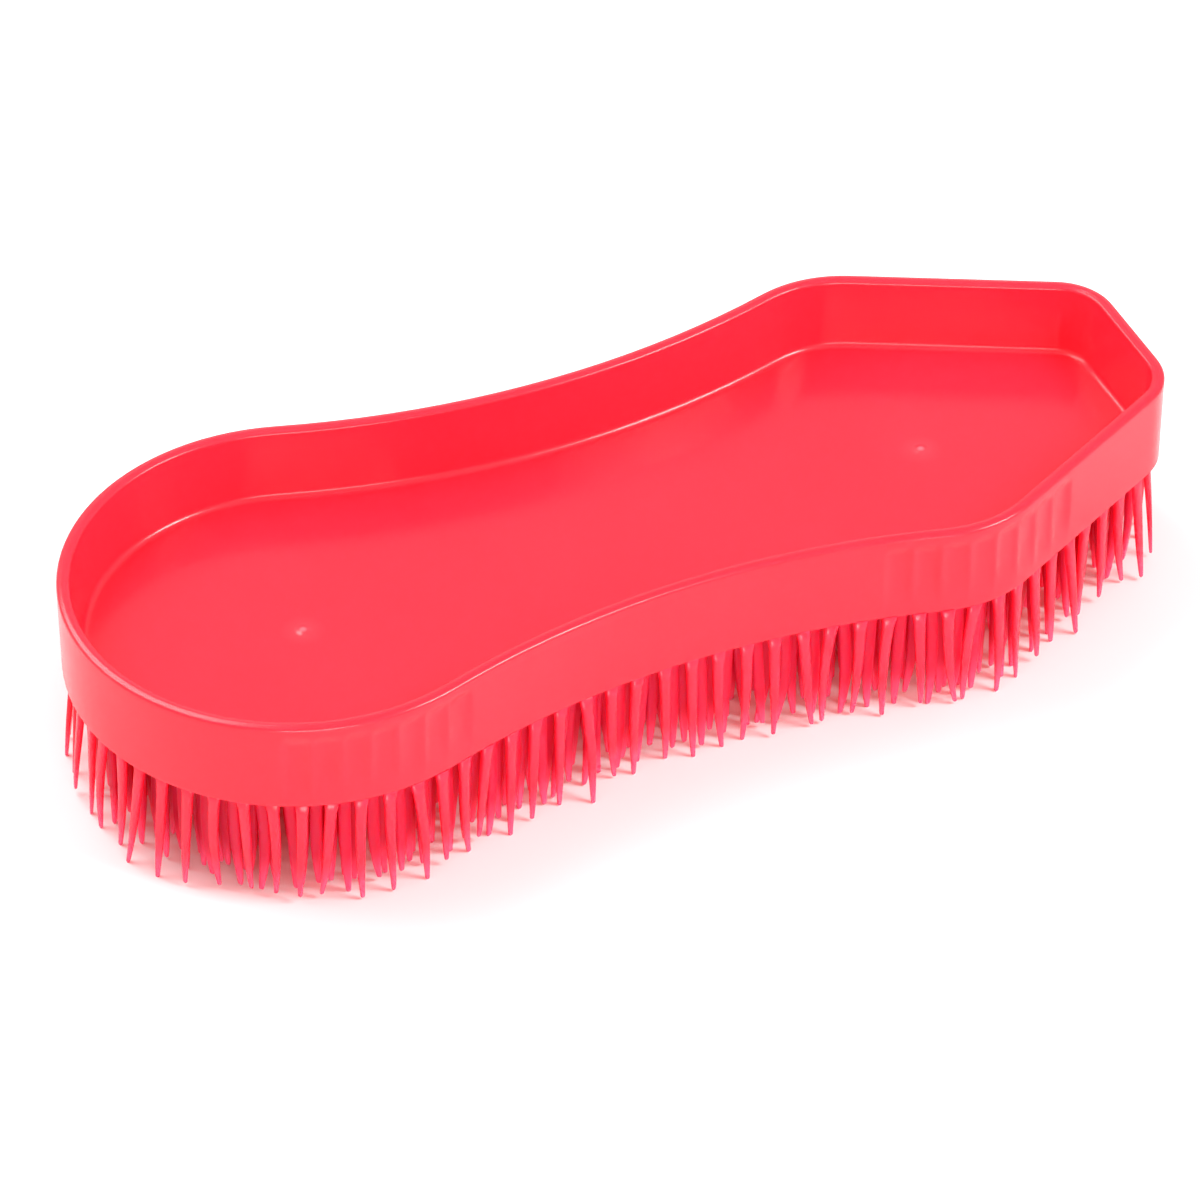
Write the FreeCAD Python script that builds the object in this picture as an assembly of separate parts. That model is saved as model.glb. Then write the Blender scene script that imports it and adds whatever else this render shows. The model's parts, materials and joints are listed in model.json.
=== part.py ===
import FreeCAD, Part
import math
import os
import random
from FreeCAD import Vector

# A grooming brush moulded in one plastic: an open, waisted tray that the hand holds by its
# wall, with rows of pointed blades under it.  Millimetres.  X runs along the length towards
# the pointed end, Y across, Z up.  The origin is on the surface the blade tips stand on,
# under the middle of the tray.

# Overall size
LENGTH = 200.0
WIDTH = 81.0
HEIGHT = 39.3

# Plan outline of the tray, a chain of tangent arcs mirrored about the X axis
ROUND_END_RADIUS = WIDTH / 2
WAIST_HALF_WIDTH = 30.7
WAIST_X = 1.8
SHOULDER_RADIUS = 22.0
SHOULDER_X = 51.4
POINT_HALF_WIDTH = 15.3
POINT_RADIUS = 11.0

# Tray section
BLADE_LENGTH = 22.0
WALL_DRAFT = 0.3
RIM_WIDTH = 2.3
RIM_ROUNDING = 0.6
TRAY_DEPTH = 13.0
FLOOR_INSET = 3.9
FLOOR_FILLET = 1.2

# Finger grooves down the outside of the wall: where each run starts and how many it has
GROOVE_PITCH = 5.0
GROOVE_WIDTH = 4.4
GROOVE_DEPTH = 0.45
GROOVE_TOP_GAP = 2.6
GROOVE_END_GAP = 1.0
GROOVE_RUNS = ((72.7, 8), (-43.5, 7))

# Moulding gate marks on the tray floor
GATE_X = (-58.5, 58.5)
GATE_NIB_RADIUS = 1.3
GATE_NIB_HEIGHT = 0.3

# Blades: flat spikes, nearly parallel down to a knee and tapered below it.  The edge rows follow
# the outline; inside them, straight rows fill the underside.  Every row is half a pitch out of
# step with the one before.
BLADE_WIDTH = 2.15
BLADE_THICKNESS = 1.4
KNEE_SHARE = 0.62
KNEE_WIDTH = 1.9
KNEE_THICKNESS = 1.2
TIP_WIDTH = 0.8
TIP_THICKNESS = 0.55
BLADE_PITCH = 5.2
ROW_SPACING = 2.1
EDGE_ROWS = 4
NEAREST_BLADE = 2.7
BLADE_CLEARANCE = 1.25
SIDE_LEAN = 0.9
SIDE_LEAN_LIMIT = 2.0
OUT_LEAN = 0.5
OUT_LEAN_LIMIT = 0.8
IN_LEAN_LIMIT = 1.2
OUTER_ROW_LEAN = 0.9
OUTER_ROW_LEAN_LIMIT = 2.4
END_TUCK = 1.7
END_SPLAY = 1.5
END_SPLAY_FROM_X = 88.0
INNER_FREEDOM = 0.4
FULL_LENGTH_SHARE = 0.35
SHORTEST_BY = 1.6
LEAN_TRIES = 30
SEED = 12

RIM_Z = HEIGHT
BASE_Z = BLADE_LENGTH
FLOOR_Z = HEIGHT - TRAY_DEPTH


def arc(centre, radius, start, end, z):
    """Arc from angle start to angle end, in radians, through the middle angle."""
    points = []
    for angle in (start, (start + end) / 2, end):
        x = centre[0] + radius * math.cos(angle)
        y = centre[1] + radius * math.sin(angle)
        points.append(Vector(x, y, z))
    return Part.Arc(*points).toShape()


def half_outline(inset, z):
    """Edges of the +Y half of the outline, from the pointed end to the round end."""
    half_length = LENGTH / 2
    round_x = -half_length + ROUND_END_RADIUS

    # The waist is a hollow arc that touches the round end's circle
    waist_run = WAIST_X - round_x
    waist_radius = (waist_run ** 2 + WAIST_HALF_WIDTH ** 2 - ROUND_END_RADIUS ** 2) / (
        2 * (ROUND_END_RADIUS - WAIST_HALF_WIDTH))
    waist_y = WAIST_HALF_WIDTH + waist_radius

    # The shoulder circle touches the waist arc from below
    reach = waist_radius + SHOULDER_RADIUS
    shoulder_y = waist_y - math.sqrt(reach ** 2 - (SHOULDER_X - WAIST_X) ** 2)

    # The straight taper touches the shoulder and aims at the corner of the pointed end
    corner_dx = half_length - SHOULDER_X
    corner_dy = POINT_HALF_WIDTH - shoulder_y
    to_corner = math.hypot(corner_dx, corner_dy)
    taper = math.atan2(corner_dy, corner_dx) - math.asin(SHOULDER_RADIUS / to_corner)
    taper_normal = taper + math.pi / 2

    # The corner is rounded between the taper and the flat end
    corner_turn = taper_normal / 2
    point_x = half_length - POINT_RADIUS
    point_y = POINT_HALF_WIDTH - POINT_RADIUS * math.tan(corner_turn)

    end_join = math.atan2(waist_y, WAIST_X - round_x)
    shoulder_join = math.atan2(waist_y - shoulder_y, WAIST_X - SHOULDER_X)

    corner = arc((point_x, point_y), POINT_RADIUS - inset, 0.0, taper_normal, z)
    shoulder = arc((SHOULDER_X, shoulder_y), SHOULDER_RADIUS - inset,
                   taper_normal, shoulder_join, z)
    waist = arc((WAIST_X, waist_y), waist_radius + inset,
                shoulder_join - math.pi, end_join - math.pi, z)
    round_end = arc((round_x, 0.0), ROUND_END_RADIUS - inset, end_join, math.pi, z)
    taper_line = Part.LineSegment(corner.valueAt(corner.LastParameter),
                                  shoulder.valueAt(shoulder.FirstParameter)).toShape()
    flat = Part.LineSegment(Vector(half_length - inset, 0.0, z),
                            corner.valueAt(corner.FirstParameter)).toShape()
    return [flat, corner, taper_line, shoulder, waist, round_end]


def outline(inset, z):
    """Closed outline, moved in by inset, at height z."""
    half = half_outline(inset, z)
    mirrored = [edge.mirror(Vector(0, 0, 0), Vector(0, 1, 0)) for edge in half]
    return Part.Wire(Part.__sortEdges__(half + mirrored))


def loft(lower, upper):
    """Solid between two outlines, each given as (inset, z)."""
    return Part.makeLoft([outline(*lower), outline(*upper)], True, True)


def edges_at(shape, z):
    """Edges of a shape that lie wholly at height z."""
    found = []
    for edge in shape.Edges:
        box = edge.BoundBox
        if abs(box.ZMin - z) < 1e-4 and abs(box.ZMax - z) < 1e-4:
            found.append(edge)
    return found


def tray_shell():
    """The open tray: drafted wall, rounded rim, flat floor and flat underside."""
    outside = loft((WALL_DRAFT, BASE_Z), (0.0, RIM_Z))
    hollow = loft((FLOOR_INSET, FLOOR_Z), (RIM_WIDTH, RIM_Z))
    tray = outside.cut(hollow)
    tray = tray.makeFillet(FLOOR_FILLET, edges_at(tray, FLOOR_Z))
    return tray.makeFillet(RIM_ROUNDING, edges_at(tray, RIM_Z))


def walk(edges, distance):
    """Point and outward direction at a distance along the half outline from the pointed end."""
    for edge in edges:
        if distance <= edge.Length:
            break
        distance -= edge.Length
    parameter = edge.getParameterByLength(min(distance, edge.Length))
    along = edge.tangentAt(parameter)
    return edge.valueAt(parameter), Vector(along.y, -along.x, 0)


def distance_to_x(edges, x):
    """How far along the half outline, from the pointed end, it comes back to x."""
    near = 0.0
    far = sum(edge.Length for edge in edges)
    while far - near > 1e-4:
        middle = (near + far) / 2
        if walk(edges, middle)[0].x > x:
            near = middle
        else:
            far = middle
    return near


def groove_cutter(point, outward):
    """Round-ended cutter that leaves one shallow finger groove down the drafted wall."""
    radius = ((GROOVE_WIDTH / 2) ** 2 + GROOVE_DEPTH ** 2) / (2 * GROOVE_DEPTH)
    top_z = RIM_Z - GROOVE_TOP_GAP - GROOVE_WIDTH / 2
    bottom_z = BASE_Z + GROOVE_END_GAP + GROOVE_WIDTH / 2
    slope = WALL_DRAFT / (RIM_Z - BASE_Z)
    axis = Vector(outward.x * slope, outward.y * slope, 1.0)
    top = point + outward * (radius - GROOVE_DEPTH) + axis * (top_z - RIM_Z)
    bottom = top - axis * (top_z - bottom_z)
    column = Part.makeCylinder(radius, (top - bottom).Length, bottom, axis)
    return column.fuse(Part.makeSphere(radius, top)).fuse(Part.makeSphere(radius, bottom))


def groove_cutters():
    """All finger grooves: each run on the +Y side and its mirror image."""
    cutters = []
    half = half_outline(0.0, RIM_Z)
    for start_x, count in GROOVE_RUNS:
        start = distance_to_x(half, start_x)
        for index in range(count):
            cutter = groove_cutter(*walk(half, start + (index + 0.5) * GROOVE_PITCH))
            cutters.append(cutter)
            cutters.append(cutter.mirror(Vector(0, 0, 0), Vector(0, 1, 0)))
    return cutters


def tray_body():
    """The whole tray with its finger grooves and gate nibs, as one solid."""
    tray = tray_shell()
    for cutter in groove_cutters():
        tray = tray.cut(cutter)
    for x in GATE_X:
        nib = Part.makeCone(GATE_NIB_RADIUS, GATE_NIB_RADIUS / 2, GATE_NIB_HEIGHT + 0.5,
                            Vector(x, 0, FLOOR_Z - 0.5))
        tray = tray.fuse(nib)
    return tray.removeSplitter().Solids[0]


def within(value, limit):
    """A value held between -limit and limit."""
    return max(-limit, min(limit, value))


def blade(root, tip, along, outward):
    """One flat spike, as a convex solid with plane faces, hanging from the underside."""
    knee = root + (tip - root) * KNEE_SHARE
    rings = []
    for centre, width, thickness in ((tip, TIP_WIDTH, TIP_THICKNESS),
                                     (knee, KNEE_WIDTH, KNEE_THICKNESS),
                                     (root, BLADE_WIDTH, BLADE_THICKNESS)):
        half_width = along * (width / 2)
        half_thickness = outward * (thickness / 2)
        rings.append([centre + half_width + half_thickness,
                      centre - half_width + half_thickness,
                      centre - half_width - half_thickness,
                      centre + half_width - half_thickness])
    loops = [rings[0], rings[-1]]
    for lower, upper in zip(rings, rings[1:]):
        for corner in range(4):
            after = (corner + 1) % 4
            loops.append([lower[corner], lower[after], upper[after], upper[corner]])
    faces = [Part.Face(Part.makePolygon(loop + loop[:1])) for loop in loops]
    return Part.Solid(Part.Shell(faces))


def edge_stations(number):
    """Root point, direction along the row and outward direction of each blade of an edge row.

    Each root lies square to the outline, further in for each row.  Towards the two ends the
    rows are tucked in under the wall."""
    edges = half_outline(0.0, BASE_Z)
    half_length = sum(edge.Length for edge in edges)
    inset = WALL_DRAFT + BLADE_THICKNESS / 2 + number * ROW_SPACING
    count = round(2 * half_length / BLADE_PITCH)
    for index in range(count):
        distance = (index + number % 2 / 2) * 2 * half_length / count
        mirrored = distance > half_length
        point, outward = walk(edges, 2 * half_length - distance if mirrored else distance)
        if mirrored:
            point.y = -point.y
            outward.y = -outward.y
        root = point - outward * inset
        root.x *= 1 - END_TUCK / (LENGTH / 2)
        yield root, Vector(-outward.y, outward.x, 0), outward


def inner_stations(number):
    """The same for a straight inner row, numbered from the middle one, where the edge rows end."""
    underside = Part.Face(outline(WALL_DRAFT + BLADE_THICKNESS / 2 + EDGE_ROWS * ROW_SPACING, BASE_Z))
    y = number * ROW_SPACING
    reach = math.ceil(LENGTH / 2 / BLADE_PITCH)
    for index in range(-reach, reach + 1):
        root = Vector((index + number % 2 / 2) * BLADE_PITCH, y, BASE_Z)
        if underside.isInside(root, 1e-3, True):
            yield root, Vector(1, 0, 0), Vector(0, math.copysign(1, y), 0)


def width_at(share):
    """Width of a blade at a share of its length from the root."""
    if share < KNEE_SHARE:
        return BLADE_WIDTH + (KNEE_WIDTH - BLADE_WIDTH) * share / KNEE_SHARE
    return KNEE_WIDTH + (TIP_WIDTH - KNEE_WIDTH) * (share - KNEE_SHARE) / (1 - KNEE_SHARE)


def clear_of_others(root, tip, placed):
    """Whether a blade keeps its own width from every blade already placed."""
    for other_root, other_tip in placed:
        if root.distanceToPoint(other_root) > 2 * BLADE_PITCH:
            continue
        for share in (0.3, KNEE_SHARE, 0.8, 1.0):
            gap = (root - other_root) * (1 - share) + (tip - other_tip) * share
            if math.hypot(gap.x, gap.y) < BLADE_CLEARANCE * width_at(share):
                return False
    return True


def leaning_tip(chance, root, along, outward, outermost, freedom):
    """Where a blade's tip stands: a random lean and length, inside the tray's own box."""
    side = within(chance.gauss(0.0, SIDE_LEAN), SIDE_LEAN_LIMIT)
    spread, limit = (OUTER_ROW_LEAN, OUTER_ROW_LEAN_LIMIT) if outermost else (OUT_LEAN, OUT_LEAN_LIMIT)
    splay = END_SPLAY if outermost and abs(root.x) > END_SPLAY_FROM_X else 0.0
    out = max(-IN_LEAN_LIMIT, min(limit, chance.gauss(splay, spread)))
    tip = root + (along * side + outward * out) * freedom
    reach = math.hypot(TIP_WIDTH, TIP_THICKNESS) / 2
    tip.x = within(tip.x, LENGTH / 2 - reach)
    tip.y = within(tip.y, WIDTH / 2 - reach)
    full_length = chance.random() < FULL_LENGTH_SHARE
    tip.z = 0.0 if full_length else chance.uniform(0.0, SHORTEST_BY)
    return tip


def blade_row(stations, chance, placed, outermost, freedom):
    """The blades of one row, as separate solids that stand clear of those already placed."""
    row = []
    for root, along, outward in stations:
        if any(root.distanceToPoint(other) < NEAREST_BLADE for other, other_tip in placed):
            continue
        for attempt in range(LEAN_TRIES):
            tip = leaning_tip(chance, root, along, outward, outermost, freedom)
            if clear_of_others(root, tip, placed):
                break
        else:
            tip = Vector(root.x, root.y, 0.0)
        placed.append((root, tip))
        row.append(blade(root, tip, along, outward))
    return row


def blade_rows():
    """(name, blades) of each row: the edge rows from the wall inwards, then the inner rows."""
    chance = random.Random(SEED)
    placed = []
    for number in range(EDGE_ROWS):
        row = blade_row(edge_stations(number), chance, placed, number == 0, 1.0)
        yield f"edge_row_{number + 1}", row
    outermost_inner = math.floor(WIDTH / 2 / ROW_SPACING)
    found = 0
    for number in range(-outermost_inner, outermost_inner + 1):
        row = blade_row(inner_stations(number), chance, placed, False, INNER_FREEDOM)
        if row:
            found += 1
            yield f"inner_row_{found:02d}", row


def main():
    os.makedirs("parts", exist_ok=True)
    tray_body().exportStep("parts/tray_body.step")
    for name, row in blade_rows():
        Part.makeCompound(row).exportStep(f"parts/{name}.step")


main()
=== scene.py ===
from collections import namedtuple
import json
import math
import random

import bmesh
import bpy
import numpy as np
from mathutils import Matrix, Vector


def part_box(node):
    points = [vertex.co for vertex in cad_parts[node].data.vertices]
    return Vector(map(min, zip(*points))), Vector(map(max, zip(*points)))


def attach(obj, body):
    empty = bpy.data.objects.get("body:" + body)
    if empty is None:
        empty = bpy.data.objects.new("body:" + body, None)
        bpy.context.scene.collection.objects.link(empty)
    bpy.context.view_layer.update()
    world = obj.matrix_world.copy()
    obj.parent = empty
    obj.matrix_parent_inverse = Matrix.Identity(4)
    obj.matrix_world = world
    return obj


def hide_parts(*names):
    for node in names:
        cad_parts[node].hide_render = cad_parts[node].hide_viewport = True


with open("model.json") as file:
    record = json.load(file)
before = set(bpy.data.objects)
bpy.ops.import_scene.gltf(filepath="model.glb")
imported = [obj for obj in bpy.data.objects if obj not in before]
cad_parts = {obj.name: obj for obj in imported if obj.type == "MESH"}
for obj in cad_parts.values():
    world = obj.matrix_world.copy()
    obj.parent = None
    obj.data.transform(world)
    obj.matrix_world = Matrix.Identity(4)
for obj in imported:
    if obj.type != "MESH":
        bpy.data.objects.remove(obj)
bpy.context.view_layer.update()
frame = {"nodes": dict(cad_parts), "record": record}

# Lengths are in metres. Places on the object come from the frame.
SEED = 11
MM = 0.001
TOLERANCE = 0.001 * MM
# Decimal places of a metre to which CAD vertices count as being at one place
OUTLINE_DIGITS = 7
BLADE_DIGITS = 6

# Tray section, from the CAD tray's lower outline
STATION_SPACING = 0.4 * MM
OUTLINE_SMOOTHING = 0.8 * MM
WALL_DRAFT = 0.285 * MM
RIM_WIDTH = 2.3 * MM
OUTER_ROUNDING = 0.6 * MM
INNER_ROUNDING = 0.55 * MM
RIM_CROWN = 0.14 * MM
LOWER_ROUNDING = 0.22 * MM
FLOOR_INSET = 3.9 * MM
FLOOR_FILLET = 1.2 * MM
FLAT_MARGIN = 0.5 * MM

# Finger grooves, as (x where a run starts, how many it has), with a soft ridge between two
GROOVE_RUNS = ((72.7 * MM, 8), (-43.5 * MM, 7))
GROOVE_PITCH = 5.0 * MM
GROOVE_DEPTH = 0.74 * MM
GROOVE_FLATNESS = 3.0
RIDGE_SMOOTHING = 0.5 * MM
GROOVE_TOP_GAP = 1.6 * MM
GROOVE_END_GAP = 0.35 * MM
GROOVE_TOP_FADE = 2.6 * MM
GROOVE_END_FADE = 7.5 * MM
# Mesh rings in the lower fade, from there to the upper fade, and in the upper fade
GROOVE_RINGS = (9, 5, 7)

# Gate marks, as (radius, height) in millimetres round a small cut-off nib
GATE_PROFILE = ((2.2, 0.0), (1.7, 0.0), (1.45, 0.03), (1.2, 0.09), (0.95, 0.17), (0.7, 0.235),
                (0.48, 0.275), (0.3, 0.293), (0.14, 0.30))
GATE_SIDES = 32
# Whitening round a gate mark, cut plastic with a painted highlight, as (share of the halo's radius,
# share of whitening)
GATE_HALO = 4.0 * MM
GATE_WHITENING_AND_HIGHLIGHT = ((0.0, 0.9), (0.10, 0.6), (0.20, 0.10), (0.5, 0.05), (1.0, 0.0))
# Where the CAD tray's gate marks are looked for: near the middle line, just above the floor
GATE_BAND = 3.0 * MM
GATE_REACH = 80.0 * MM
GATE_CLEARANCE = 0.05 * MM
GATE_TOP_GAP = 3.0 * MM

# Blade shape, over the CAD blade's own root, lean and length, as
# (share of the length from the root, share of the root's width, share of its thickness)
EDGE_PROFILE = ((0.0, 1.0, 1.0), (0.12, 0.93, 0.91), (0.28, 0.87, 0.83), (0.44, 0.80, 0.76),
                (0.58, 0.74, 0.69), (0.70, 0.66, 0.62), (0.80, 0.57, 0.56), (0.89, 0.47, 0.49),
                (0.96, 0.39, 0.42), (0.99, 0.35, 0.37), (1.0, 0.25, 0.27))
INNER_PROFILE = ((0.0, 1.0, 1.0), (0.12, 0.99, 0.98), (0.28, 0.98, 0.96), (0.44, 0.96, 0.93),
                 (0.58, 0.92, 0.88), (0.70, 0.82, 0.80), (0.80, 0.70, 0.69), (0.89, 0.57, 0.59),
                 (0.96, 0.46, 0.48), (0.99, 0.40, 0.41), (1.0, 0.30, 0.30))
CORNER_SHARE = 0.34
CORNER_BULGE = 0.3
ROOT_FLARE = 0.20 * MM
ROOT_FLARE_RUN = 0.02
ROOT_SUNK = 0.15 * MM

# Spread of the random draws for each blade's bend, tip curl and twist
BOW = 0.30 * MM
CURL = 0.35 * MM
CURL_OUT_SPREAD = 0.6
CURL_SHARPNESS = 4
TWIST = math.radians(12)

# The plastic where it differs from piece to piece: mottle colours, gloss, how much light
# spreads inside, the colour that one surface lets through and the colour where it is pale.
# The inner blades are a darker, less glossy copy: painted shade for the light lost between them.
Plastic = namedtuple("Plastic", "name light dark roughness specular glow through pale")
# Pale cut plastic at the gate marks, brightened into a painted highlight
PALE_CUT_AND_HIGHLIGHT = (0.95, 0.16, 0.20)
# Painted light: the blade tips' pale pink, partly thinner plastic and partly light reaching the
# tips
PALE_LIT_TIP = (0.78, 0.076, 0.16)
WALL_PLASTIC = Plastic("red_plastic", light=(0.94, 0.0145, 0.032), dark=(0.92, 0.0125, 0.029),
                       roughness=0.20, specular=0.34, glow=0.5,
                       through=(0.75, 0.05, 0.07), pale=PALE_CUT_AND_HIGHLIGHT)
EDGE_BLADE_PLASTIC = Plastic("edge_blade_plastic", light=(0.95, 0.0155, 0.045),
                             dark=(0.93, 0.0135, 0.039), roughness=0.24, specular=0.34,
                             glow=1.0, through=(0.85, 0.10, 0.14), pale=PALE_LIT_TIP)
# Painted shade: the inner rows' plastic is a darker, less glossy copy of the blade plastic
SHADED_INNER_BLADE_PLASTIC = Plastic("inner_blade_painted_shade", light=(0.46, 0.012, 0.044),
                              dark=(0.44, 0.010, 0.038), roughness=0.34, specular=0.16,
                              glow=1.0, through=(0.82, 0.04, 0.06), pale=PALE_LIT_TIP)

# The plastic where it is the same all over the brush; noises are (scale, detail, roughness),
# and a noise's ends are the values that give the dark and the light colour
FLOW_NOISE = (28.0, 3.0, 0.45)
FLOW_ENDS = (0.35, 0.65)
WEAR_NOISE = (160.0, 4.0, 0.6)
GRAIN_NOISE = (900.0, 2.0, 0.5)
GLOSS_SPREAD = 0.06
GRAIN_STRENGTH = 0.25
GRAIN_HEIGHT = 0.02 * MM
PLASTIC_IOR = 1.5
GLOW_COLOUR_REACH = (1.0, 0.08, 0.10)
GLOW_REACH = 4.0 * MM
# Height over which the blades' painted light fades from the tips up towards the shaded roots
TIP_FADE = 9.0 * MM

# Sockets of a colour mix node, which are only told apart by number
MIX_FACTOR, MIX_FIRST, MIX_SECOND, MIX_RESULT = 0, 6, 7, 2

# Table top
TABLE_HALF = 3.0
TABLE_NOISE = (6.0, 3.0, 0.5)
TABLE_ENDS = (0.3, 0.7)
TABLE_DARK = (0.61, 0.61, 0.61)
TABLE_LIGHT = (0.63, 0.63, 0.63)
TABLE_ROUGHNESS = 0.8

# Soft boxes, as (name, place, aim, side, watts)
SOFT_BOXES = (("back_softbox", (-0.35, 0.45, 0.80), (0, 0, 0), 0.7, 11.0),
              ("key_softbox", (0.58, -0.52, 0.77), (0, 0, 0), 0.38, 12.0),
              ("front_fill", (-0.35, -1.10, 0.20), (0, 0, 0.01), 0.6, 12.0))
WORLD_STRENGTH = 0.82

# Camera: a long lens above the front, turned from -Y towards the round end.
# Its aim is given from the middle of the rim's plane.
CAMERA_AZIMUTH = math.radians(-24.7)
CAMERA_ELEVATION = math.radians(39.9)
CAMERA_DISTANCE = 1.433
CAMERA_LENS = 255.6
CAMERA_SENSOR = 36.0
CAMERA_CLIP = (0.01, 20.0)
CAMERA_AIM = Vector((-0.0158, -0.0279, 0.0))


# ---------------------------------------------------------------- materials

def new_material(name):
    """A node material with its node tree and its shader."""
    material = bpy.data.materials.new(name)
    material.use_nodes = True
    tree = material.node_tree
    return material, tree, tree.nodes["Principled BSDF"]


def noise(tree, coordinates, settings):
    """A noise texture in the object's own coordinates."""
    node = tree.nodes.new("ShaderNodeTexNoise")
    for socket, value in zip(("Scale", "Detail", "Roughness"), settings):
        node.inputs[socket].default_value = value
    tree.links.new(coordinates.outputs["Object"], node.inputs["Vector"])
    return node.outputs["Fac"]


def ramp(tree, source, stops):
    """A colour ramp fed by a value; stops are (position, colour)."""
    node = tree.nodes.new("ShaderNodeValToRGB")
    elements = node.color_ramp.elements
    while len(elements) < len(stops):
        elements.new(0.5)
    for element, (position, colour) in zip(elements, stops):
        element.position = position
        element.color = (*colour, 1.0)
    tree.links.new(source, node.inputs["Fac"])
    return node.outputs["Color"]


def remap(tree, source, **ends):
    """A map range node fed by a value; ends are its sockets' values, such as to_min."""
    node = tree.nodes.new("ShaderNodeMapRange")
    for end, value in ends.items():
        node.inputs[end.replace("_", " ").title()].default_value = value
    tree.links.new(source, node.inputs["Value"])
    return node


def thin_and_lit_ends(tree, coordinates):
    """Painted light, partly thinner plastic: 1 at the blade tips, fading to 0 further up, so tips
    look lit and roots shaded.
    """
    height = tree.nodes.new("ShaderNodeSeparateXYZ")
    tree.links.new(coordinates.outputs["Object"], height.inputs["Vector"])
    thin = remap(tree, height.outputs["Z"], from_min=0.0, from_max=TIP_FADE, to_min=1.0, to_max=0.0)
    thin.interpolation_type = "SMOOTHSTEP"
    return thin.outputs["Result"]


def gate_whitening_and_highlight(tree, coordinates, centres):
    """1 on the cut nib of each gate mark, with a faint halo round it: pale cut plastic and a
    painted highlight.
    """
    distances = []
    for centre in centres:
        apart = tree.nodes.new("ShaderNodeVectorMath")
        apart.operation = "DISTANCE"
        tree.links.new(coordinates.outputs["Object"], apart.inputs[0])
        apart.inputs[1].default_value = centre
        distances.append(apart.outputs["Value"])
    nearest = distances[0]
    for distance in distances[1:]:
        least = tree.nodes.new("ShaderNodeMath")
        least.operation = "MINIMUM"
        tree.links.new(nearest, least.inputs[0])
        tree.links.new(distance, least.inputs[1])
        nearest = least.outputs["Value"]
    halo_share = remap(tree, nearest, from_max=GATE_HALO).outputs["Result"]
    return ramp(tree, halo_share, [(place, (share,) * 3) for place, share in GATE_WHITENING_AND_HIGHLIGHT])


def let_shadow_light_through(tree, shader, colour):
    """Tint shadows: light crosses each surface in the given colour instead of stopping there."""
    path = tree.nodes.new("ShaderNodeLightPath")
    clear = tree.nodes.new("ShaderNodeBsdfTransparent")
    clear.inputs["Color"].default_value = (*colour, 1.0)
    either = tree.nodes.new("ShaderNodeMixShader")
    tree.links.new(path.outputs["Is Shadow Ray"], either.inputs[0])
    tree.links.new(shader.outputs["BSDF"], either.inputs[1])
    tree.links.new(clear.outputs["BSDF"], either.inputs[2])
    tree.links.new(either.outputs["Shader"], tree.nodes["Material Output"].inputs["Surface"])


def moulded_plastic(look, pale_where):
    """Soft red plastic: faint flow mottling, satin gloss and a fine moulded surface.

    It turns pale where the given function says: painted light at the blade tips, cut plastic with a
    painted highlight at the gate marks."""
    material, tree, shader = new_material(look.name)
    coordinates = tree.nodes.new("ShaderNodeTexCoord")
    flow = noise(tree, coordinates, FLOW_NOISE)
    mottled = ramp(tree, flow, list(zip(FLOW_ENDS, (look.dark, look.light))))
    paler = tree.nodes.new("ShaderNodeMix")
    paler.data_type = "RGBA"
    tree.links.new(pale_where(tree, coordinates), paler.inputs[MIX_FACTOR])
    tree.links.new(mottled, paler.inputs[MIX_FIRST])
    paler.inputs[MIX_SECOND].default_value = (*look.pale, 1.0)
    tree.links.new(paler.outputs[MIX_RESULT], shader.inputs["Base Color"])
    let_shadow_light_through(tree, shader, look.through)

    gloss = remap(tree, noise(tree, coordinates, WEAR_NOISE),
                  to_min=look.roughness - GLOSS_SPREAD, to_max=look.roughness + GLOSS_SPREAD)
    tree.links.new(gloss.outputs["Result"], shader.inputs["Roughness"])

    bump = tree.nodes.new("ShaderNodeBump")
    bump.inputs["Strength"].default_value = GRAIN_STRENGTH
    bump.inputs["Distance"].default_value = GRAIN_HEIGHT
    tree.links.new(noise(tree, coordinates, GRAIN_NOISE), bump.inputs["Height"])
    tree.links.new(bump.outputs["Normal"], shader.inputs["Normal"])

    shader.inputs["IOR"].default_value = PLASTIC_IOR
    shader.inputs["Specular IOR Level"].default_value = look.specular
    shader.inputs["Subsurface Weight"].default_value = look.glow
    shader.inputs["Subsurface Radius"].default_value = GLOW_COLOUR_REACH
    shader.inputs["Subsurface Scale"].default_value = GLOW_REACH
    return material


def table_material():
    """Matt white table top."""
    material, tree, shader = new_material("white_table")
    coordinates = tree.nodes.new("ShaderNodeTexCoord")
    mottle = noise(tree, coordinates, TABLE_NOISE)
    colour = ramp(tree, mottle, list(zip(TABLE_ENDS, (TABLE_DARK, TABLE_LIGHT))))
    tree.links.new(colour, shader.inputs["Base Color"])
    shader.inputs["Roughness"].default_value = TABLE_ROUGHNESS
    return material


# --------------------------------------------------------------------- tray

def smooth_round(values, width, spacing):
    """A closed run of values, averaged over a bell of the given width."""
    reach = max(1, round(width / spacing))
    bell = np.hanning(2 * reach + 3)[1:-1]
    bell /= bell.sum()
    padded = np.concatenate([values[-reach:], values, values[:reach]])
    return np.convolve(padded, bell, "valid")


def smooth_step(value, start, end):
    """0 before start and 1 after end, with a soft change between."""
    share = np.clip((value - start) / (end - start), 0.0, 1.0)
    return share * share * (3 - 2 * share)


def lower_outline(mesh, base_z):
    """Corners of the CAD tray's lower edge, round from the middle of the pointed end and back."""
    corners = {(round(vertex.co.x, OUTLINE_DIGITS), round(vertex.co.y, OUTLINE_DIGITS))
               for vertex in mesh.vertices if vertex.co.z < base_z + TOLERANCE}
    corners = sorted(corners, key=lambda corner: math.atan2(corner[1], corner[0]) % math.tau)
    if corners[0][1] > TOLERANCE:
        corners.insert(0, (max(corner[0] for corner in corners), 0.0))
    return np.array(corners + corners[:1])


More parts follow.
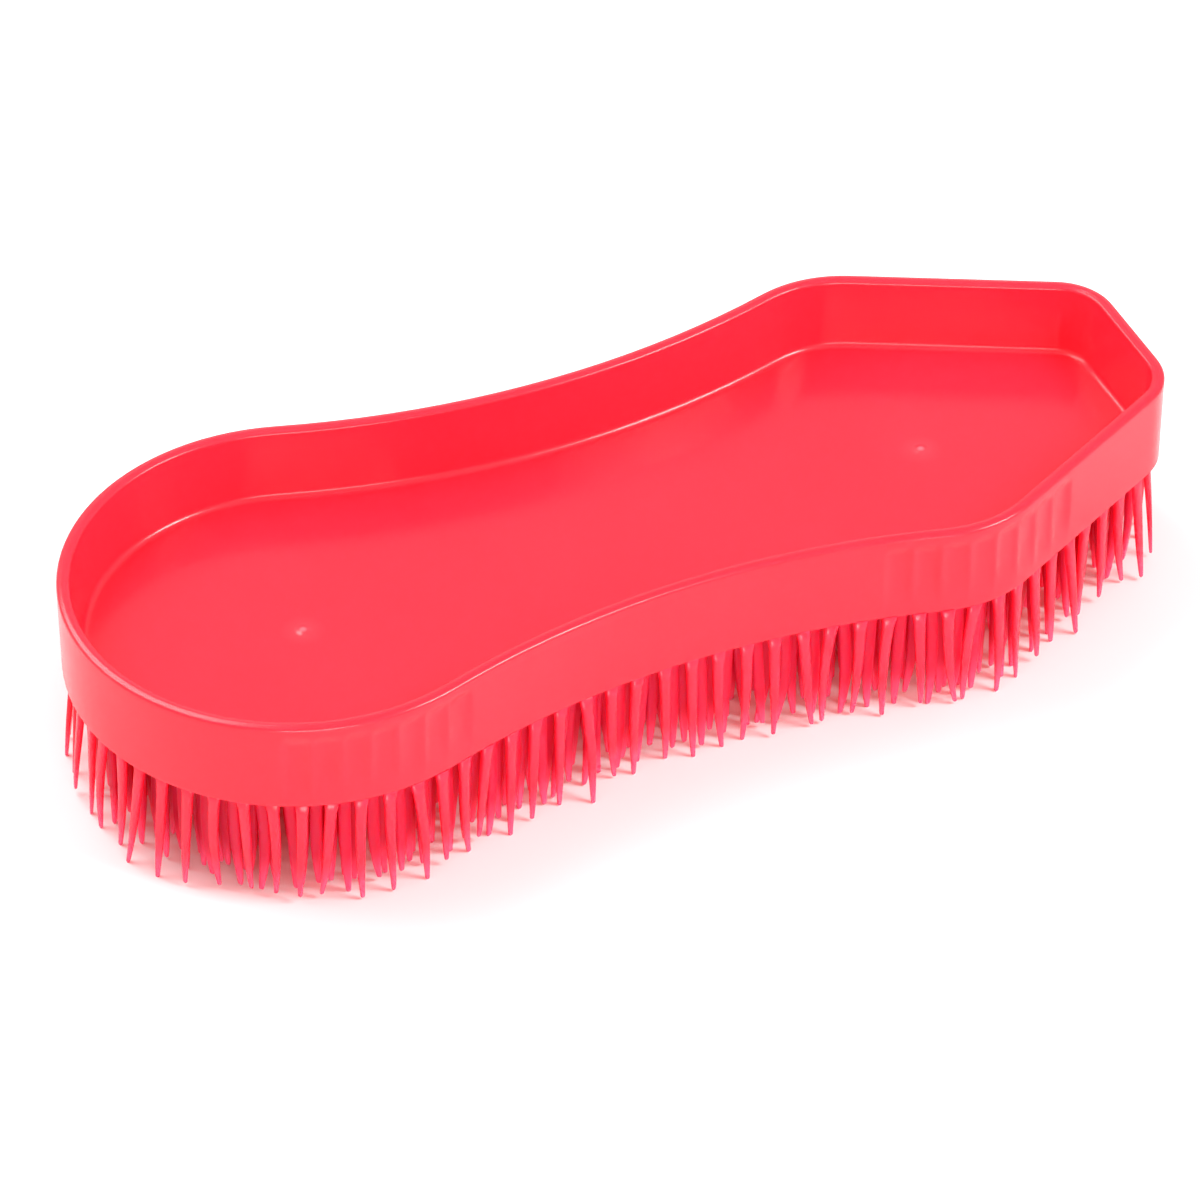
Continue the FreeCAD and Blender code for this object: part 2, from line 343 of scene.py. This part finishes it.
def outline_stations():
    """Evenly spaced points round the tray's lower outline from the pointed end, their outward
    directions, and the distance between two."""
    points = lower_outline(frame["nodes"]["tray_body"].data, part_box("tray_body")[0].z)
    lengths = np.linalg.norm(np.diff(points, axis=0), axis=1)
    along = np.concatenate([[0.0], np.cumsum(lengths)])
    count = round(along[-1] / STATION_SPACING)
    spacing = along[-1] / count
    places = np.arange(count) * spacing
    stations = np.stack([smooth_round(np.interp(places, along, points[:, axis]),
                                      OUTLINE_SMOOTHING, spacing) for axis in (0, 1)], axis=1)
    tangents = np.roll(stations, -1, axis=0) - np.roll(stations, 1, axis=0)
    tangents /= np.linalg.norm(tangents, axis=1)[:, None]
    outward = np.stack([tangents[:, 1], -tangents[:, 0]], axis=1)
    return stations, outward, spacing


def groove_relief(stations, spacing):
    """How far the wall is pressed in by the finger grooves at each station."""
    count = len(stations)
    places = np.arange(count) * spacing
    total = count * spacing
    depth = np.zeros(count)
    for start_x, grooves in GROOVE_RUNS:
        start = places[np.argmax(stations[:, 0] < start_x)]
        for number in range(grooves):
            middle = start + (number + 0.5) * GROOVE_PITCH
            for place in (middle, total - middle):
                share = np.abs(places - place) / (GROOVE_PITCH / 2)
                depth = np.maximum(depth, 1 - np.minimum(share, 1.0) ** GROOVE_FLATNESS)
    return smooth_round(GROOVE_DEPTH * depth, RIDGE_SMOOTHING, spacing)


def arc(offset, z, radius, degrees):
    """Section points on a circle about (offset, z), each angle turning from outward to up."""
    turns = [math.radians(angle) for angle in degrees]
    return [(offset + radius * math.cos(turn), z + radius * math.sin(turn), 0.0) for turn in turns]


def wall_face(base_z, rim_z):
    """The drafted outer face, where the groove relief fades in and out again."""
    groove_end, groove_top = base_z + GROOVE_END_GAP, rim_z - GROOVE_TOP_GAP
    full_from, full_to = groove_end + GROOVE_END_FADE, groove_top - GROOVE_TOP_FADE
    in_end_fade, between, in_top_fade = GROOVE_RINGS
    heights = np.concatenate([np.linspace(groove_end, full_from, in_end_fade),
                              np.linspace(full_from, full_to, between)[1:-1],
                              np.linspace(full_to, groove_top, in_top_fade)])
    relief = smooth_step(heights, groove_end, full_from)
    relief *= 1 - smooth_step(heights, full_to, groove_top)
    offsets = WALL_DRAFT * (heights - base_z) / (rim_z - base_z)
    return list(zip(offsets, heights, relief))


def tray_profile(base_z, floor_z, rim_z):
    """The tray's section from its underside, up the outside, over the rim and down to the floor:
    (offset from the lower outline, height, share of the groove relief)."""
    land_outer = WALL_DRAFT - OUTER_ROUNDING
    land_inner = WALL_DRAFT - RIM_WIDTH + INNER_ROUNDING
    land_z = rim_z - RIM_CROWN
    inner_face, inner_top = WALL_DRAFT - RIM_WIDTH, land_z - INNER_ROUNDING
    foot, fillet_top = WALL_DRAFT - FLOOR_INSET, floor_z + FLOOR_FILLET

    profile = [(-LOWER_ROUNDING - FLAT_MARGIN, base_z, 0.0)]
    profile += arc(-LOWER_ROUNDING, base_z + LOWER_ROUNDING, LOWER_ROUNDING, range(-90, 1, 30))
    profile += wall_face(base_z, rim_z)
    profile += arc(land_outer, land_z - OUTER_ROUNDING, OUTER_ROUNDING, range(0, 73, 18))
    for share in np.linspace(-1, 1, 9):
        offset = (land_outer + land_inner) / 2 - share * (land_outer - land_inner) / 2
        profile.append((offset, rim_z - RIM_CROWN * share ** 2, 0.0))
    profile += arc(land_inner, inner_top, INNER_ROUNDING, range(108, 181, 18))
    for share in (0.25, 0.5, 0.75):
        profile.append((inner_face + (foot - inner_face) * share,
                        inner_top + (fillet_top - inner_top) * share, 0.0))
    profile += arc(foot - FLOOR_FILLET, fillet_top, FLOOR_FILLET, range(0, -91, -15))
    profile.append((foot - FLOOR_FILLET - FLAT_MARGIN, floor_z, 0.0))
    return profile


def floor_height():
    """The tray floor's height, from its mount."""
    mounts = {mount["name"]: mount for mount in frame["record"]["mounts"]}
    return mounts["tray_floor"]["pos_m"][2]


def gate_centres():
    """Middle of each gate mark on the tray floor, from the CAD tray's vertices that stand just
    above it."""
    floor_z, rim_z = floor_height(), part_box("tray_body")[1].z
    found = {-1: [], 1: []}
    for vertex in frame["nodes"]["tray_body"].data.vertices:
        x, y, z = vertex.co
        in_band = abs(y) < GATE_BAND and abs(x) < GATE_REACH
        if in_band and floor_z + GATE_CLEARANCE < z < rim_z - GATE_TOP_GAP:
            found[1 if x > 0 else -1].append((x, y))
    return [(*np.mean(points, axis=0), floor_z) for points in found.values()]


def ring_of(bm, points):
    """Vertices at the points, in order."""
    return [bm.verts.new(point) for point in points]


def ring_edges(bm, ring):
    """The edges that close a ring of vertices."""
    return [bm.edges.get((ring[index - 1], ring[index])) for index in range(len(ring))]


def skin(bm, rings):
    """Quads between each two rings in turn, which all have the same count."""
    for lower, upper in zip(rings, rings[1:]):
        for index in range(len(lower)):
            after = (index + 1) % len(lower)
            bm.faces.new((lower[index], lower[after], upper[after], upper[index]))


def gate_mark(bm, centre):
    """A low round mound with a flat nib; returns the edges of its outer ring."""
    x, y, floor_z = centre
    turns = [math.tau * side / GATE_SIDES for side in range(GATE_SIDES)]
    rings = []
    for radius, height in GATE_PROFILE:
        rings.append(ring_of(bm, [(x + radius * MM * math.cos(turn),
                                   y + radius * MM * math.sin(turn),
                                   floor_z + height * MM) for turn in turns]))
    skin(bm, rings)
    bm.faces.new(rings[-1])
    return ring_edges(bm, rings[0])


def tray(material, gates):
    """The tray as one closed mesh: grooved wall, crowned rim, filleted floor and gate marks."""
    lowest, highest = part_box("tray_body")
    stations, outward, spacing = outline_stations()
    relief = groove_relief(stations, spacing)

    bm = bmesh.new()
    rings = []
    for offset, z, share in tray_profile(lowest.z, floor_height(), highest.z):
        flat = stations + outward * (offset - share * relief)[:, None]
        rings.append(ring_of(bm, [(x, y, z) for x, y in flat]))
    skin(bm, rings)

    floor_loops = ring_edges(bm, rings[-1])
    for centre in gates:
        floor_loops += gate_mark(bm, centre)
    base_loop = ring_edges(bm, rings[0])
    bmesh.ops.triangle_fill(bm, use_beauty=True, edges=floor_loops, normal=(0, 0, 1))
    bmesh.ops.triangle_fill(bm, use_beauty=True, edges=base_loop, normal=(0, 0, -1))
    bmesh.ops.recalc_face_normals(bm, faces=bm.faces)
    mesh = bpy.data.meshes.new("tray_shaped")
    bm.to_mesh(mesh)
    bm.free()
    mesh.shade_smooth()
    add_piece("tray_shaped", mesh, material, "tray_body")


# ------------------------------------------------------------------- blades

def separate_solids(mesh):
    """The corners of each separate solid in a mesh, lowest first.

    Vertices at the same place are one corner; corners that share a face are one solid."""
    keys = [tuple(np.round(vertex.co, BLADE_DIGITS)) for vertex in mesh.vertices]
    owner = {key: key for key in keys}

    def find(key):
        while owner[key] != key:
            key = owner[key]
        return key

    for polygon in mesh.polygons:
        first = find(keys[polygon.vertices[0]])
        for vertex in polygon.vertices[1:]:
            owner[find(keys[vertex])] = first
    solids = {}
    for key in dict.fromkeys(keys):
        solids.setdefault(find(key), []).append(np.array(key))
    return [sorted(corners, key=lambda corner: corner[2]) for corners in solids.values()]


def cad_blades(node):
    """(root, tip, along, outward, width, thickness) of each CAD blade in a row node."""
    found = []
    for corners in separate_solids(frame["nodes"][node].data):
        tip_corners, root_corners = np.array(corners[:4]), np.array(corners[-4:])
        spans = root_corners - root_corners[0]
        lengths = np.linalg.norm(spans, axis=1)
        _, short_side, long_side, _ = np.argsort(lengths)
        thickness, width = lengths[short_side], lengths[long_side]
        found.append((root_corners.mean(0), tip_corners.mean(0),
                      spans[long_side] / width, spans[short_side] / thickness, width, thickness))
    return found


def section(width, thickness):
    """Corners of a rounded rectangle, as (along, outward) pairs around it."""
    cut = CORNER_SHARE * min(width, thickness)
    half_width, half_thickness = width / 2, thickness / 2
    bulge = CORNER_BULGE * cut
    points = []
    for sign_a, sign_o in ((1, 1), (-1, 1), (-1, -1), (1, -1)):
        quarter = [(half_width, half_thickness - cut),
                   (half_width - bulge, half_thickness - bulge),
                   (half_width - cut, half_thickness)]
        if sign_a * sign_o < 0:
            quarter.reverse()
        points += [(sign_a * a, sign_o * o) for a, o in quarter]
    return points


def shaped_blade(blade, chance, flush):
    """Vertices of one blade, ring by ring from its root to its tip. A flush blade carries on
    the wall's outer face, so its root flares along the wall only."""
    root, tip, along, outward, width, thickness = blade
    bow = chance.gauss(0, 1) * BOW
    curl_along = chance.gauss(0, 1) * CURL
    curl_out = chance.gauss(0, CURL_OUT_SPREAD) * CURL
    twist = chance.gauss(0, 1) * TWIST
    rings = []
    for share, width_share, thickness_share in EDGE_PROFILE if flush else INNER_PROFILE:
        centre = root + (tip - root) * share
        centre = centre + along * (bow * math.sin(math.pi * share))
        centre = centre + (along * curl_along + outward * curl_out) * share ** CURL_SHARPNESS
        if share == 0:
            centre = centre + np.array((0, 0, ROOT_SUNK))
        flare = 2 * ROOT_FLARE * max(0.0, 1 - share / ROOT_FLARE_RUN)
        corners = section(width * width_share + flare,
                          thickness * thickness_share + (0.0 if flush else flare))
        turn = twist * share
        side = along * math.cos(turn) + outward * math.sin(turn)
        face = outward * math.cos(turn) - along * math.sin(turn)
        rings.append([centre + side * a + face * o for a, o in corners])
    return rings


def blade_row(node, chance, material, flush):
    """A mesh piece with every blade of a CAD row node, shaped. Only the end faces are flat."""
    vertices, faces, smooth = [], [], []
    for blade in cad_blades(node):
        rings = shaped_blade(blade, chance, flush)
        start = len(vertices)
        around = len(rings[0])
        for ring in rings:
            vertices += [tuple(point) for point in ring]
        for level in range(len(rings) - 1):
            low, high = start + level * around, start + (level + 1) * around
            for corner in range(around):
                after = (corner + 1) % around
                faces.append((low + corner, low + after, high + after, high + corner))
                smooth.append(True)
        root_end = range(start, start + around)
        tip_end = range(len(vertices) - around, len(vertices))
        faces += [tuple(reversed(root_end)), tuple(tip_end)]
        smooth += [False, False]
    mesh = bpy.data.meshes.new(node + "_shaped")
    mesh.from_pydata(vertices, [], faces)
    mesh.polygons.foreach_set("use_smooth", smooth)
    add_piece(node + "_shaped", mesh, material, node)


def add_piece(name, mesh, material, node):
    """A piece that stands for a CAD node and rides on the brush."""
    piece = bpy.data.objects.new(name, mesh)
    bpy.context.scene.collection.objects.link(piece)
    mesh.materials.append(material)
    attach(piece, "root")
    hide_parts(node)


# ------------------------------------------------------ table, light, camera

def white_table():
    """A plain table top under the blade tips."""
    corners = [(-TABLE_HALF, -TABLE_HALF, 0), (TABLE_HALF, -TABLE_HALF, 0),
               (TABLE_HALF, TABLE_HALF, 0), (-TABLE_HALF, TABLE_HALF, 0)]
    mesh = bpy.data.meshes.new("table")
    mesh.from_pydata(corners, [], [(0, 1, 2, 3)])
    table = bpy.data.objects.new("table", mesh)
    bpy.context.scene.collection.objects.link(table)
    mesh.materials.append(table_material())


def soft_box(name, place, aim, side, watts):
    """A soft square light at a place, turned to aim."""
    data = bpy.data.lights.new(name, "AREA")
    data.shape = "SQUARE"
    data.size = side
    data.energy = watts
    lamp = bpy.data.objects.new(name, data)
    bpy.context.scene.collection.objects.link(lamp)
    lamp.location = place
    lamp.rotation_euler = (Vector(aim) - Vector(place)).to_track_quat("-Z", "Y").to_euler()


def white_surroundings():
    """Even white light from all round."""
    world = bpy.data.worlds.new("white_studio")
    world.use_nodes = True
    background = world.node_tree.nodes["Background"]
    background.inputs["Color"].default_value = (1.0, 1.0, 1.0, 1.0)
    background.inputs["Strength"].default_value = WORLD_STRENGTH
    bpy.context.scene.world = world


def photo_camera():
    """A camera with the photograph's viewing angle, as the scene's camera."""
    rim_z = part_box("tray_body")[1].z
    back = Vector((math.sin(CAMERA_AZIMUTH) * math.cos(CAMERA_ELEVATION),
                   -math.cos(CAMERA_AZIMUTH) * math.cos(CAMERA_ELEVATION),
                   math.sin(CAMERA_ELEVATION)))
    data = bpy.data.cameras.new("camera")
    data.lens = CAMERA_LENS
    data.sensor_width = CAMERA_SENSOR
    data.clip_start, data.clip_end = CAMERA_CLIP
    camera = bpy.data.objects.new("camera", data)
    bpy.context.scene.collection.objects.link(camera)
    camera.location = CAMERA_AIM + Vector((0, 0, rim_z)) + back * CAMERA_DISTANCE
    camera.rotation_euler = (-back).to_track_quat("-Z", "Y").to_euler()
    bpy.context.scene.camera = camera


# --------------------------------------------------------------------- build

chance = random.Random(SEED)
gates = gate_centres()
# The wall pales at the gate marks: cut plastic with a painted highlight
wall_red = moulded_plastic(WALL_PLASTIC, lambda *nodes: gate_whitening_and_highlight(*nodes, gates))
# Every blade gets painted light at its tips and painted shade up near its root
edge_red = moulded_plastic(EDGE_BLADE_PLASTIC, thin_and_lit_ends)
# The inner rows get the darker copy of the plastic, painted shade
inner_red_painted_shade = moulded_plastic(SHADED_INNER_BLADE_PLASTIC, thin_and_lit_ends)
tray(wall_red, gates)
for node in sorted(frame["nodes"]):
    if node != "tray_body":
        flush = node == "edge_row_1"
        blade_row(node, chance, edge_red if flush else inner_red_painted_shade, flush)

white_table()
white_surroundings()
for box in SOFT_BOXES:
    soft_box(*box)
photo_camera()
bpy.context.scene.view_settings.view_transform = "Standard"
